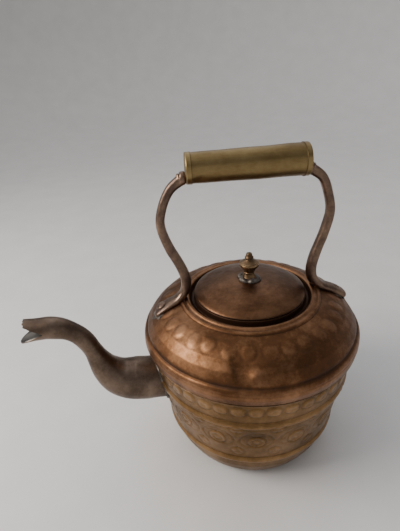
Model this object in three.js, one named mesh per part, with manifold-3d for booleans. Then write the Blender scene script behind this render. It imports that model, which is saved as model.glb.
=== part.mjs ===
// A copper kettle with a swan-neck spout, a lift-off lid and a fixed brass-gripped handle.
// Millimetres, +Z up. The origin is on the pot's axis, in the middle of the flat underside.
// The handle stands in the XZ plane, with the spout on the -X side.
import * as THREE from 'three';
import { mergeVertices } from 'three/addons/utils/BufferGeometryUtils.js';
import Module from 'manifold-3d';

const wasm = await Module();
wasm.setup();

// ---- Driving dimensions -------------------------------------------------------------------

const GAP = 0.3;                 // clearance between pieces that touch
const SHEET = 1.2;               // thickness of the copper sheet

const BASE_FLAT_RADIUS = 60;     // flat that the pot stands on
const LOWER_BEAD = { radius: 83.7, height: 36.2 };
const UPPER_BEAD = { radius: 93.8, height: 90.6 };
const BEAD_DEPTH = 1.9;          // how far a bead stands out of the wall
const SEAM_HEIGHT = 121.5;       // top of the lower body's flange, under the shoulder's rim
const SLEEVE_RADIUS = 95.9;      // lower body's sleeve, inside the shoulder's skirt
const SHOULDER_RADIUS = 100.2;   // widest place of the pot

const NECK_RADIUS = 49.2;        // clear radius of the neck
const NECK_LIP_HEIGHT = 165.9;   // lip that the lid rests on
const LID_RADIUS = 50.4;
const LID_TOP = 177.4;           // middle of the lid
const FLANGE_RADIUS = 48.2;      // lid's locating flange, inside the neck
const FLANGE_FOOT = 153.2;

const GRIP_HEIGHT = 282;         // axis of the grip
const CAP_THICKNESS = 2.2;
const CAP_RIM = 2.6;             // how far a cap's rim reaches over the tube
const CAP_OVERHANG = 0.9;        // and how far it stands out beyond it
const ROD_HEIGHT = 274.6;        // tie rod, low in the grip
const ROD_RADIUS = 2.5;
const ROD_HEAD_RADIUS = 4.4;
const EYE_RADIUS = 6;            // eye at the top of each arm
const EYE_THICKNESS = 5.2;

// The handle was bent by hand, so its two sides differ: how far the arm bows out, where the outer
// face of the cap is, both from the pot's axis, and the radius of the grip's tube at that end.
const FRONT = { bow: 74.4, capFace: 51.2, gripRadius: 12.2 };
const REAR = { bow: 69.6, capFace: 47.9, gripRadius: 13 };

const ARM_HALF_WIDTH = 4.3;      // arm's bar, across the handle's plane
const ARM_HALF_DEPTH = 3.9;      // and in that plane
const FOOT_HALF_WIDTH = 7.4;
const FOOT_HALF_DEPTH = 3;
const RIVET = { place: 80, height: 155.6, lean: THREE.MathUtils.degToRad(28.5), shank: 2, head: 4.4 };

const SPOUT_YAW = THREE.MathUtils.degToRad(6);  // the spout is set a little off the handle's plane
const SPOUT_WALL = 1.3;
const SPOUT_RADIUS = { root: 20.3, throat: 8.2, mouth: 9.9 };

const ROUND = 48;                // facets round the large turned shells

// ---- Finishes -----------------------------------------------------------------------------

function finish(color, roughness, metalness) {
  return new THREE.MeshStandardMaterial({ color, roughness, metalness });
}
const darkCopper = finish('#6b4630', 0.42, 1);
const spoutCopper = finish('#54433a', 0.5, 1);
const brass = finish('#8a744a', 0.45, 1);
const castBrass = finish('#6f5642', 0.5, 1);
const tinSolder = finish('#6d675f', 0.55, 1);

// ---- Solids -------------------------------------------------------------------------------

// A closed geometry as a solid: only its positions, with shared vertices merged.
function solidFrom(geometry) {
  const bare = geometry.index ? geometry.toNonIndexed() : geometry.clone();
  bare.deleteAttribute('normal');
  bare.deleteAttribute('uv');
  const merged = mergeVertices(bare, 1e-4);
  const kept = [];
  const index = merged.index.array;
  for (let i = 0; i < index.length; i += 3) {
    const [a, b, c] = index.subarray(i, i + 3);
    if (a !== b && b !== c && c !== a) kept.push(a, b, c);
  }
  const vertProperties = merged.attributes.position.array;
  const closed = () => {
    const triVerts = new Uint32Array(kept);
    return new wasm.Manifold(new wasm.Mesh({ numProp: 3, vertProperties, triVerts }));
  };
  const made = closed();
  if (made.volume() > 0) return made;
  kept.reverse();
  return closed();
}

function geometryFrom(solid) {
  const mesh = solid.getMesh();
  const geometry = new THREE.BufferGeometry();
  geometry.setAttribute('position', new THREE.BufferAttribute(mesh.vertProperties, 3));
  geometry.setIndex(new THREE.BufferAttribute(mesh.triVerts, 1));
  geometry.computeVertexNormals();
  return geometry;
}

// A profile of [radius, height] turned about Z. It ends on the axis, or closes on itself.
function turned(profile, segments = ROUND) {
  const points = profile.map(([radius, height]) => new THREE.Vector2(radius, height));
  if (profile[0][0] > 0) points.push(points[0].clone());
  return solidFrom(new THREE.LatheGeometry(points, segments).rotateX(Math.PI / 2));
}

// The space that a turned outline fills, from the axis out, grown by a distance.
function turnedSpace(outline, grow) {
  const grown = outline.map(([radius, height], i) => {
    const [r0, z0] = outline[Math.max(i - 1, 0)];
    const [r1, z1] = outline[Math.min(i + 1, outline.length - 1)];
    const length = Math.hypot(r1 - r0, z1 - z0);
    return [radius + (grow * (z1 - z0)) / length, height - (grow * (r1 - r0)) / length];
  });
  return turned([[0, grown[0][1]], ...grown, [0, grown.at(-1)[1]]]);
}

// A rod of oval section along a path in the XZ plane. halfSize(t) gives its half-width along Y
// and its half-depth in the plane, at the fraction t of its length.
function bentRod(path, halfSize, sides, steps) {
  const rod = new THREE.CylinderGeometry(1, 1, 1, sides, steps);
  const at = rod.attributes.position;
  const place = new THREE.Vector3();
  const along = new THREE.Vector3();
  for (let i = 0; i < at.count; i++) {
    const t = THREE.MathUtils.clamp(at.getY(i) + 0.5, 0, 1);
    path.getPointAt(t, place);
    path.getTangentAt(t, along);
    const { width, depth } = halfSize(t);
    const lift = at.getZ(i) * depth;
    at.setXYZ(i, place.x - along.z * lift, at.getX(i) * width, place.z + along.x * lift);
  }
  return rod;
}

function pathThrough(points) {
  return new THREE.CatmullRomCurve3(points.map(([x, z]) => new THREE.Vector3(x, 0, z)), false, 'centripetal');
}

// A round bar along X, from one end to the other, at a height.
function barAlongX(start, end, radius, height, sides = 24) {
  const bar = new THREE.CylinderGeometry(radius, radius, end - start, sides).rotateZ(Math.PI / 2);
  return bar.translate((start + end) / 2, 0, height);
}

// A number that runs smoothly through [t, value] stops.
function blend(stops, t) {
  const next = stops.findIndex(([place]) => place >= t);
  if (next <= 0) return stops[next === 0 ? 0 : stops.length - 1][1];
  const [t0, v0] = stops[next - 1];
  const [t1, v1] = stops[next];
  return THREE.MathUtils.lerp(v0, v1, THREE.MathUtils.smoothstep(t, t0, t1));
}

// ---- The pot ------------------------------------------------------------------------------

// Outline of a half-round bead pressed out of the wall, from below it to above it.
function beadOutline({ radius, height }) {
  const wall = radius - BEAD_DEPTH;
  return [
    [wall - 0.3, height - 2.8],
    [radius, height - 0.8],
    [radius, height + 0.8],
    [wall + 0.2, height + 2.8],
  ];
}

const lowerWall = [
  [BASE_FLAT_RADIUS, 0],
  [66.5, 1.8],
  [73, 9.5],
  [79, 22],
  ...beadOutline(LOWER_BEAD),
  [87, 63],
  ...beadOutline(UPPER_BEAD),
  [95.6, SEAM_HEIGHT - 2.9],
];
const seamFlange = [
  [95.8, SEAM_HEIGHT - 2.1],
  [98.7, SEAM_HEIGHT - 1.3],
  [98.7, SEAM_HEIGHT - 0.2],
  [SLEEVE_RADIUS, SEAM_HEIGHT],
];
const SLEEVE_TOP = SEAM_HEIGHT + 10.5;

const shoulderOutline = [
  [99.3, SEAM_HEIGHT + 0.7],
  [SHOULDER_RADIUS, SEAM_HEIGHT + 6],
  [99.4, 134.2],
  [96.9, 138.8],
  [91.7, 146.4],
  [85.6, 152.3],
  [79, 156],
  [72.9, 158.9],
  [62.6, 162.1],
];

// Neck ring from its outer edge in: outer ridge, groove, inner ridge.
const neckRidges = [
  [65, 161.95],
  [63.6, 163.8],
  [61.8, 163.8],
  [60.4, 162.8],
  [58.6, 164.6],
  [57, 164.6],
];

const lowerSpace = turnedSpace([...lowerWall, ...seamFlange], GAP);
const ringEdge = [neckRidges[0][0], neckRidges[0][1] - 2];
const neckSpace = turnedSpace([ringEdge, ...neckRidges], GAP);
const shoulderSpace = turnedSpace(shoulderOutline, GAP).add(neckSpace);

// The same outline, set in by the thickness of the sheet and run the other way.
function setIn(outline, thickness) {
  return outline
    .map(([radius, height], i) => {
      const [r0, z0] = outline[Math.max(i - 1, 0)];
      const [r1, z1] = outline[Math.min(i + 1, outline.length - 1)];
      const length = Math.hypot(r1 - r0, z1 - z0);
      return [radius - (thickness * (z1 - z0)) / length, height + (thickness * (r1 - r0)) / length];
    })
    .reverse();
}

// ---- Spout --------------------------------------------------------------------------------

const spoutPath = pathThrough([
  [-78, 80.8],
  [-95, 83],
  [-108, 84.6],
  [-120.3, 87.1],
  [-131.5, 93.4],
  [-139.6, 103.4],
  [-144.6, 115],
  [-148.6, 127.8],
  [-153, 139],
  [-159.5, 148.2],
  [-168.5, 155.2],
  [-179.6, 158.9],
  [-190, 159.7],
  [-212, 160.6],
]);

// A stout root that draws in to the throat of the swan neck, then opens a little to the beak.
function spoutRadius(t) {
  const { root, throat, mouth } = SPOUT_RADIUS;
  const drawn = 1 - THREE.MathUtils.smoothstep(t, 0.2, 0.58);
  return throat + (root - throat) * drawn + (mouth - throat) * THREE.MathUtils.smoothstep(t, 0.6, 0.9);
}

function spoutRod(shrink, sides = 18, steps = 24) {
  const halfSize = (t) => ({ width: spoutRadius(t) - shrink, depth: spoutRadius(t) - shrink });
  return solidFrom(bentRod(spoutPath, halfSize, sides, steps).rotateZ(SPOUT_YAW));
}

// What is snipped away past the open beak: the upper jaw is the shorter one, with a V between them.
function beakSnips() {
  const outline = new THREE.Shape();
  outline.moveTo(-240, 190);
  outline.lineTo(-200, 190);
  outline.lineTo(-199.5, 168.6);
  outline.quadraticCurveTo(-198.5, 162.8, -189.5, 160.2);
  outline.quadraticCurveTo(-198, 156.8, -205.4, 149.8);
  outline.lineTo(-206, 138);
  outline.lineTo(-240, 138);
  const snips = new THREE.ExtrudeGeometry(outline, { depth: 40, bevelEnabled: false, curveSegments: 5 });
  return solidFrom(snips.rotateX(Math.PI / 2).translate(0, 20, 0).rotateZ(SPOUT_YAW));
}

const spoutBore = spoutRod(SPOUT_WALL);

// ---- Handle -------------------------------------------------------------------------------

// Arm on the +X side: out of the grip's boss, a wide bow, a waist, and a foot along the shoulder.
function armPath({ bow, capFace }) {
  return pathThrough([
    [capFace + 3, ROD_HEIGHT],
    [capFace + 11, 264.4],
    [bow - 4.2, 252.2],
    [bow, 235.4],
    [bow - 4.3, 217],
    [63.2, 205],
    [59.6, 192.6],
    [57.8, 181.6],
    [60, 171.2],
    [66.8, 163.8],
    [75.6, 159.6],
    [83.4, 155.2],
    [89, 150.4],
  ]);
}

function armRod(side, grow) {
  const halfSize = (t) => ({
    width: grow + blend([[0, 3.9], [0.3, ARM_HALF_WIDTH], [0.74, 4.6], [0.9, FOOT_HALF_WIDTH], [1, 4]], t),
    depth: grow + blend([[0, 3.7], [0.3, ARM_HALF_DEPTH], [0.7, 4.3], [0.86, FOOT_HALF_DEPTH], [1, 1.8]], t),
  });
  return solidFrom(bentRod(armPath(side), halfSize, 12, 36));
}

// A shape turned on Z, laid on the shoulder at the rivet's place and leaning outwards with it.
function onFoot(geometry) {
  return geometry.rotateY(RIVET.lean).translate(RIVET.place, 0, RIVET.height);
}

function armSolid(side) {
  const { capFace } = side;
  const eyeFace = capFace + EYE_THICKNESS;
  const eye = solidFrom(barAlongX(capFace + GAP, eyeFace, EYE_RADIUS, ROD_HEIGHT));
  const capSpace = solidFrom(barAlongX(0, capFace + GAP, 3 * EYE_RADIUS, ROD_HEIGHT));
  const rodHole = solidFrom(barAlongX(40, 70, ROD_RADIUS + GAP, ROD_HEIGHT));
  const headSeat = solidFrom(barAlongX(eyeFace, 70, ROD_HEAD_RADIUS + GAP, ROD_HEIGHT));
  const eyed = armRod(side, 0).subtract(capSpace).add(eye).subtract(rodHole).subtract(headSeat);
  return eyed.subtract(shoulderSpace).subtract(rivetHole());
}

function rivetHole() {
  const radius = RIVET.shank + GAP;
  return solidFrom(onFoot(new THREE.CylinderGeometry(radius, radius, 24, 20).rotateX(Math.PI / 2)));
}

// Domed head on the foot, shank through the foot and the shoulder, and a flat tail inside the pot.
function rivetSolid() {
  const { shank, head } = RIVET;
  const profile = [
    [0, 7.9],
    [head * 0.55, 7.5],
    [head * 0.9, 6.4],
    [head, 5.2],
    [shank, 5.1],
    [shank, -1.7],
    [3.4, -1.8],
    [3, -2.9],
    [0, -3.1],
  ];
  const points = profile.map(([radius, height]) => new THREE.Vector2(radius, height));
  return solidFrom(onFoot(new THREE.LatheGeometry(points, 20).rotateX(Math.PI / 2)));
}

// Solder run round the end of the foot, between it and the shoulder.
function footSolder(side) {
  const pool = new THREE.SphereGeometry(1, 20, 10).scale(11, 10.2, 2.8);
  pool.rotateY(THREE.MathUtils.degToRad(36)).translate(84.6, 0, 153);
  return solidFrom(pool).subtract(armRod(side, GAP)).subtract(shoulderSpace);
}

function mirroredToFront(solid) {
  return solid.mirror([1, 0, 0]);
}

// ---- Pieces -------------------------------------------------------------------------------

const kettle = new THREE.Group();

function addPiece(name, solid, material, height = 0) {
  const mesh = new THREE.Mesh(geometryFrom(solid), material);
  mesh.name = name;
  mesh.position.z = height;
  kettle.add(mesh);
}

// Lower body: one raised sheet with a flat bottom, two beads, a seam flange and a sleeve.
const lowerBody = turned([
  [0, 0],
  ...lowerWall,
  ...seamFlange,
  [SLEEVE_RADIUS, SLEEVE_TOP],
  [SLEEVE_RADIUS - 1, SLEEVE_TOP],
  ...setIn(lowerWall, SHEET),
  [0, SHEET],
]);
addPiece('lower_body', lowerBody.subtract(spoutBore), darkCopper);

// Shoulder: a dome whose skirt drops over the lower body's sleeve.
const shoulderShell = turned([...shoulderOutline, ...setIn(shoulderOutline, SHEET)]);
const footHoles = rivetHole().add(mirroredToFront(rivetHole()));
addPiece('shoulder_dome', shoulderShell.subtract(footHoles), darkCopper);

// Solder in the lap between the sleeve and the skirt.
addPiece('seam_solder', turned([
  [SLEEVE_RADIUS + GAP, SEAM_HEIGHT + 1.2],
  [97.7, SEAM_HEIGHT + 1.6],
  [98.1, SEAM_HEIGHT + 6],
  [SLEEVE_RADIUS + GAP, SEAM_HEIGHT + 7.4],
], ROUND), tinSolder);

// Neck ring: two ridges, a gutter, and the upright lip that the lid rests on.
addPiece('neck_ring', turned([
  ...neckRidges,
  [53.6, 161.2],
  [51.4, 161.2],
  [50.6, NECK_LIP_HEIGHT],
  [NECK_RADIUS, NECK_LIP_HEIGHT],
  [NECK_RADIUS, FLANGE_FOOT + 0.3],
  [NECK_RADIUS + 1, FLANGE_FOOT + 0.3],
  [NECK_RADIUS + 1, 159.7],
  [54, 159.7],
  [57.6, 163.1],
  [60.3, 161.3],
  [62, 162.4],
]), darkCopper);

// Spout: a swan-neck tube, closed to the pot's wall at its root and open at its beak.
const spoutTube = spoutRod(0);
addPiece('spout', spoutTube.subtract(spoutBore).subtract(beakSnips()).subtract(lowerSpace), spoutCopper);

// Solder fillet round the spout's root.
const rootSpace = solidFrom(
  new THREE.BoxGeometry(26, 60, 60).translate(-90, 0, 83).rotateZ(SPOUT_YAW),
);
const rootFillet = spoutRod(-2.4)
  .intersect(turnedSpace([...lowerWall, ...seamFlange], 2.8))
  .intersect(rootSpace);
addPiece('spout_solder', rootFillet.subtract(spoutRod(-GAP)).subtract(lowerSpace), tinSolder);

// ---- Lid, which lifts straight up out of the neck ----

const TENON_RADIUS = 2.4;
const TENON_HOLE = TENON_RADIUS + GAP;
addPiece('lid_dome', turned([
  [TENON_HOLE, LID_TOP - 0.1],
  [15, LID_TOP - 0.5],
  [30, LID_TOP - 2.8],
  [42, LID_TOP - 6.1],
  [49.2, LID_TOP - 9.2],
  [LID_RADIUS, LID_TOP - 10.3],
  [LID_RADIUS - 0.2, NECK_LIP_HEIGHT + GAP + 0.1],
  [LID_RADIUS - 1.6, NECK_LIP_HEIGHT + GAP + 0.1],
  [41.5, LID_TOP - 7.4],
  [29.7, LID_TOP - 4.1],
  [15, LID_TOP - 1.8],
  [TENON_HOLE, LID_TOP - 1.4],
]), darkCopper);

addPiece('lid_flange', turned([
  [FLANGE_RADIUS - 1, FLANGE_FOOT],
  [FLANGE_RADIUS, FLANGE_FOOT],
  [FLANGE_RADIUS, NECK_LIP_HEIGHT + 0.2],
  [FLANGE_RADIUS - 1, NECK_LIP_HEIGHT + 0.8],
]), darkCopper);

// Finial: a turned brass acorn with a tenon, peened over a washer under the lid.
const FINIAL_FOOT = LID_TOP + 0.5;
addPiece('finial', turned([
  [0, -5.3],
  [3.4, -5.1],
  [3.6, -4.4],
  [3.2, -3.8],
  [TENON_RADIUS, -3.8],
  [TENON_RADIUS, 0],
  [7.2, 0],
  [7.2, 0.7],
  [5, 2.3],
  [4.35, 4.3],
  [4.4, 6.7],
  [5.2, 9.1],
  [7.2, 12.3],
  [8.7, 14.3],
  [8.9, 15.5],
  [8.2, 16.7],
  [5.4, 18.1],
  [3.2, 19.1],
  [3, 20.1],
  [3.8, 22],
  [3.1, 24.3],
  [0, 25.7],
], 24), brass, FINIAL_FOOT);

addPiece('finial_washer', turned([
  [TENON_HOLE, -3.5],
  [7, -3.5],
  [7, -2.2],
  [TENON_HOLE, -2.2],
], 24), brass, FINIAL_FOOT);

addPiece('finial_solder', turned([
  [7.5, -0.3],
  [12.6, -0.55],
  [11, 0.3],
  [9, 1.2],
  [7.5, 1.6],
], 24), tinSolder, FINIAL_FOOT);

// ---- Handle, riveted and soldered to the shoulder ----

addPiece('handle_arm_front', mirroredToFront(armSolid(FRONT)), castBrass);
addPiece('handle_arm_rear', armSolid(REAR), castBrass);
addPiece('foot_rivet_front', mirroredToFront(rivetSolid()), castBrass);
addPiece('foot_rivet_rear', rivetSolid(), castBrass);
addPiece('foot_solder_front', mirroredToFront(footSolder(FRONT)), tinSolder);
addPiece('foot_solder_rear', footSolder(REAR), tinSolder);

// Grip: a brass tube, rolled a little tapered, between two flanged caps on a tie rod.
const TUBE_FRONT = FRONT.capFace - CAP_THICKNESS;
const TUBE_REAR = REAR.capFace - CAP_THICKNESS;

// The tube's outside, grown by one distance and run out past both ends by another.
function gripCone(grow, past) {
  const taper = (REAR.gripRadius - FRONT.gripRadius) / (TUBE_FRONT + TUBE_REAR);
  const front = FRONT.gripRadius + grow - taper * past;
  const rear = REAR.gripRadius + grow + taper * past;
  const cone = new THREE.CylinderGeometry(front, rear, TUBE_FRONT + TUBE_REAR + 2 * past, 36);
  return solidFrom(cone.rotateZ(Math.PI / 2).translate((TUBE_REAR - TUBE_FRONT) / 2, 0, GRIP_HEIGHT));
}
addPiece('grip_tube', gripCone(0, 0).subtract(gripCone(-1, 5)), brass);

function gripCap({ capFace, gripRadius }) {
  const inner = capFace - CAP_THICKNESS;
  const face = solidFrom(barAlongX(inner - CAP_RIM, capFace, gripRadius + CAP_OVERHANG, GRIP_HEIGHT, 36));
  const socket = solidFrom(barAlongX(0, inner + GAP, gripRadius + GAP, GRIP_HEIGHT, 36));
  const rodHole = solidFrom(barAlongX(40, 60, ROD_RADIUS + GAP, ROD_HEIGHT));
  return face.subtract(socket).subtract(rodHole);
}
addPiece('grip_cap_front', mirroredToFront(gripCap(FRONT)), brass);
addPiece('grip_cap_rear', gripCap(REAR), brass);

// Tie rod: a round head hammered over the front arm's eye, a shallow one over the rear arm's.
function rodHead({ capFace }, reach, radius) {
  const seat = capFace + EYE_THICKNESS + GAP;
  const head = new THREE.SphereGeometry(1, 20, 12).scale(reach, radius, radius);
  const beyond = solidFrom(new THREE.BoxGeometry(20, 20, 20).translate(seat + 10, 0, ROD_HEIGHT));
  return solidFrom(head.translate(seat, 0, ROD_HEIGHT)).intersect(beyond);
}
const rodReach = CAP_THICKNESS + EYE_THICKNESS + 1;
const rodShank = barAlongX(-TUBE_FRONT - rodReach, TUBE_REAR + rodReach, ROD_RADIUS, ROD_HEIGHT);
const frontHead = mirroredToFront(rodHead(FRONT, 4, ROD_HEAD_RADIUS));
addPiece('grip_tie_rod', solidFrom(rodShank).add(frontHead).add(rodHead(REAR, 1.4, 3.8)), castBrass);

export default kettle;
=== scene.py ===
# %% [markdown]
# # An old copper tea kettle
#
# The kettle is made the way a coppersmith makes one: a lower body and a shoulder raised from
# sheet, joined by a soldered lap under the widest point, a swan-neck spout, a lift-off lid with
# a turned brass finial, and a fixed handle of two cast arms with a sheet-brass grip between them.
#
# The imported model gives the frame: where each part is, how large it is and what moves. This
# script draws the fine surfaces over it. Lengths are in millimetres until a mesh is made, and
# then in metres, because that is Blender's unit.

import bmesh
import bpy
import numpy as np
from mathutils import Matrix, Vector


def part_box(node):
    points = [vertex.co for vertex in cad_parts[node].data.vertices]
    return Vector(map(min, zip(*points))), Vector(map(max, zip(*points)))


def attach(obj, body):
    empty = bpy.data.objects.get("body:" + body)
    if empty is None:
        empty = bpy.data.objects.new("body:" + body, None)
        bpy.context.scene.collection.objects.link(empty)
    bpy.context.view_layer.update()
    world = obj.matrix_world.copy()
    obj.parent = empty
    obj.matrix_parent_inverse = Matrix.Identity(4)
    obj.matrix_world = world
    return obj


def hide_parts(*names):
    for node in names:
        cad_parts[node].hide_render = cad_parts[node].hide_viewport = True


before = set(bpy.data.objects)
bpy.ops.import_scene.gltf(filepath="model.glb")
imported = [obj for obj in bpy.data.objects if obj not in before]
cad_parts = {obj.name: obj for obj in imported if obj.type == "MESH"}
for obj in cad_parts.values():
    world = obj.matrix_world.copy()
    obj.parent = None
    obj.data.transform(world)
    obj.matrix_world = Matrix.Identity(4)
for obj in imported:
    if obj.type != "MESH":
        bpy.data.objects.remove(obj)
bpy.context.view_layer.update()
MM = 0.001   # metres

# %% [markdown]
# ## The camera
#
# The kettle is seen from a little above and in front, from close by, so the view narrows
# towards the bottom. The camera is placed first, because it sets how fine a detail can show,
# which is about one millimetre on the kettle.

# %% Camera
CAMERA_PLACE = (-66.5, -312.9, 361.4)
HEADING, DIP, ROLL = 4.09, 27.9, -3.67   # degrees: right of +Y, below level, about the view
LENS = 27.2                              # millimetres, on Blender's 36 mm frame


def turn(degrees, axis):
    return Matrix.Rotation(np.radians(degrees), 4, axis)


camera = bpy.data.objects.new("camera", bpy.data.cameras.new("camera"))
camera.data.lens = LENS
camera.data.clip_start = 0.01
camera.matrix_world = (
    Matrix.Translation([c * MM for c in CAMERA_PLACE])
    @ turn(-HEADING, "Z") @ turn(90 - DIP, "X") @ turn(ROLL, "Z")
)
bpy.context.scene.collection.objects.link(camera)
bpy.context.scene.camera = camera
print("camera", round(np.linalg.norm(CAMERA_PLACE)), "mm from the middle of the kettle's foot")

# %% [markdown]
# ## Lines
#
# Almost every surface here is a line that is turned about an axis or carried along a path. A
# few listed points give each line its shape. Two helpers make it smooth: one runs a curve
# through the points, and one keeps the straight runs and softens the corners, as sheet metal
# does when it is folded over a stake.


# %% Smooth lines through a few points
def length_along(line):
    """The length of a line up to each of its points: the running sum of its steps."""
    return np.r_[0, np.cumsum(np.linalg.norm(np.diff(line, axis=0), axis=1))]


def even_steps(line, count):
    """Equal steps along a line: each coordinate read at equal shares of the length so far."""
    line = np.asarray(line, float)
    gone = length_along(line)
    at = np.linspace(0, gone[-1], count)
    return np.column_stack([np.interp(at, gone, column) for column in line.T])


def through(points, count):
    """A Catmull-Rom curve: from b to c it leaves along (c - a) / 2 and arrives along (d - b) / 2."""
    points = np.asarray(points, float)
    p = np.vstack([2 * points[0] - points[1], points, 2 * points[-1] - points[-2]])
    a, b, c, d = p[:-3, None], p[1:-2, None], p[2:-1, None], p[3:, None]
    t = np.linspace(0, 1, 30, endpoint=False)[None, :, None]
    cubic = 2 * b + (c - a) * t + (2 * a - 5 * b + 4 * c - d) * t**2 + (3 * b - a - 3 * c + d) * t**3
    return even_steps(np.vstack([(cubic / 2).reshape(-1, points.shape[1]), points[-1]]), count)


def softened(outline, radius, count, loop=False):
    """The outline with its corners rounded: a running mean, weighted by a window 2 x radius long."""
    steps = even_steps(outline, 3000)
    window = np.hanning(2 * int(radius / np.linalg.norm(steps[1] - steps[0])) + 5)
    reach = len(window) // 2
    before = steps[-reach - 1:-1] if loop else 2 * steps[0] - steps[reach:0:-1]
    after = steps[1:reach + 1] if loop else 2 * steps[-1] - steps[-2:-reach - 2:-1]
    padded = np.vstack([before, steps, after])
    mean = [np.convolve(column, window / window.sum(), "valid") for column in padded.T]
    return even_steps(np.column_stack(mean), count)


# %% Directions, and places read from the frame
def unit(vectors):
    """Each vector divided by its length."""
    return vectors / (np.linalg.norm(vectors, axis=-1, keepdims=True) + 1e-12)


def outward(line):
    """Unit normals of a [radius, height] line that runs upwards: its direction, a quarter turn out."""
    step = unit(np.gradient(line, axis=0))
    return np.column_stack([step[:, 1], -step[:, 0]])


def round_steps(count):
    """Even steps round a circle, in radians, from 0 up to the last one before a full turn."""
    return np.linspace(0, 2 * np.pi, count, endpoint=False)


def edges_of(node):
    """A node's lowest and highest corner, in millimetres."""
    low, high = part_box(node)
    return np.array(low) / MM, np.array(high) / MM


def placed(outline, node):
    """Moves a [radius, height] outline so that its widest point and its foot are the node's own."""
    outline = np.asarray(outline, float)
    low, high = edges_of(node)
    half = (high[1] - low[1]) / 2
    return outline + [half - outline[:, 0].max(), low[2] - outline[:, 1].min()]


print("seam at", round(edges_of("shoulder_dome")[0][2], 1), "mm, handle up to",
      round(edges_of("grip_tube")[1][2], 1), "mm")

# %% [markdown]
# ## From grids to meshes
#
# A surface is a grid of points, with rows along the line and columns round it. Neighbouring
# points make the faces. The grid closes round its columns, and a ring-shaped piece closes along
# its rows too. The sign of the volume tells whether the faces point out, so they can be turned.
# Two numbers go with each point for the materials: its relief, which is how far the hammer or
# punch moved it, and its lining, which is 1 on the tinned inside. In a few places the relief is
# set low to paint shade.


# %% Grids, closed and turned to face out
def closed_grid(points, ring=False, relief=0.0, lining=0.0):
    """Faces between neighbours of a (rows, columns, 3) grid, with relief and lining per point."""
    rows, columns = points.shape[:2]
    index = np.arange(rows * columns).reshape(rows, columns)
    low = index if ring else index[:-1]
    high = np.roll(index, -1, axis=0) if ring else index[1:]
    quads = np.stack([low, np.roll(low, -1, 1), np.roll(high, -1, 1), high], axis=-1).reshape(-1, 4)
    flat = points.reshape(-1, 3)
    a, b, c, d = (flat[quads[:, k]] for k in range(4))
    volume = np.einsum("ij,ij", a, np.cross(b, c)) + np.einsum("ij,ij", a, np.cross(c, d))
    marks = [np.broadcast_to(m, (rows, columns)).ravel() for m in (relief, lining)]
    return flat, quads if volume > 0 else quads[:, ::-1], *marks


# %% A piece: one object with its finish, its body and the node it stands for
TOUCHING = 1e-7   # metres: points closer than this are one point
SHARP = 50        # degrees: a steeper fold stays a sharp edge


def piece(name, grids, finish, slot, body, *nodes):
    """One object from closed grids. Points that meet at a pole are merged, and the piece rides."""
    points, quads, relief, lining = zip(*grids)
    starts = np.cumsum([0] + [len(part) for part in points])
    quads = [part + start for part, start in zip(quads, starts)]
    mesh = bpy.data.meshes.new(name)
    mesh.from_pydata((np.vstack(points) * MM).tolist(), [], np.vstack(quads).tolist())
    for label, values in (("relief", relief), ("lining", lining)):
        kept = mesh.attributes.new(label, "FLOAT", "POINT")
        kept.data.foreach_set("value", np.concatenate(values).astype(np.float32))
    made = bmesh.new()
    made.from_mesh(mesh)
    bmesh.ops.remove_doubles(made, verts=made.verts, dist=TOUCHING)
    made.to_mesh(mesh)
    made.free()
    mesh.shade_smooth()
    mesh.set_sharp_from_angle(angle=np.radians(SHARP))
    shown = bpy.data.objects.new(name, mesh)
    bpy.context.scene.collection.objects.link(shown)
    mesh.materials.append(finish)
    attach(shown, body)
    if nodes:
        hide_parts(*nodes)
    corners = np.array([corner[:] for corner in shown.bound_box]) / MM
    size = np.round(corners.max(0) - corners.min(0), 1)
    triangles = sum(len(face.vertices) - 2 for face in mesh.polygons)
    print(f"{name}: {triangles:,} triangles, {size} mm")
    return shown


# %% [markdown]
# ## Hand-made unevenness
#
# Nothing on the kettle is truly round. The sheet was raised with a hammer, so it swells and
# sinks by a few tenths of a millimetre over a hand's breadth, and each hammer mark leaves a
# shallow facet. A sum of waves of chosen lengths and random directions gives both.

# %% Turned surfaces and waves
chance = np.random.default_rng(7)


def waves(u, v, length, count=14):
    """A sum of cosines with random directions and wave lengths near the one given, about -1 to 1."""
    total = np.zeros(np.broadcast(u, v).shape)
    for _ in range(count):
        heading, phase = chance.uniform(0, 2 * np.pi, 2)
        wave = length * chance.uniform(0.7, 1.5)
        total += np.cos(2 * np.pi * (u * np.cos(heading) + v * np.sin(heading)) / wave + phase)
    return total / np.sqrt(2 * count)


def turned(line, columns, rise=0.0, axis="Z", centre=0.0):
    """A [radius, place] line turned about an axis, moved out by rise along the line's normals."""
    theta = round_steps(columns)
    out = outward(line)
    rise = np.broadcast_to(rise, (len(line), columns))
    radius = line[:, :1] + rise * out[:, :1]
    along = line[:, 1:] + rise * out[:, 1:]
    sides = radius * np.cos(theta), radius * np.sin(theta)
    along = np.broadcast_to(along, radius.shape)
    if axis == "X":
        return np.stack([along, sides[0], sides[1] + centre], axis=-1)
    return np.stack([*sides, along + centre], axis=-1)


def round_waves(line, columns, length, size):
    """Waves on a turned surface, joined up at its seam: they are read at points on a cylinder."""
    theta = round_steps(columns)[None]
    reach = line[:, 0].max()
    height = length_along(line)[:, None]
    u, w = reach * np.cos(theta), reach * np.sin(theta)
    return size * (waves(u, height, length) + waves(w, height, length)) / 1.4
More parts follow.
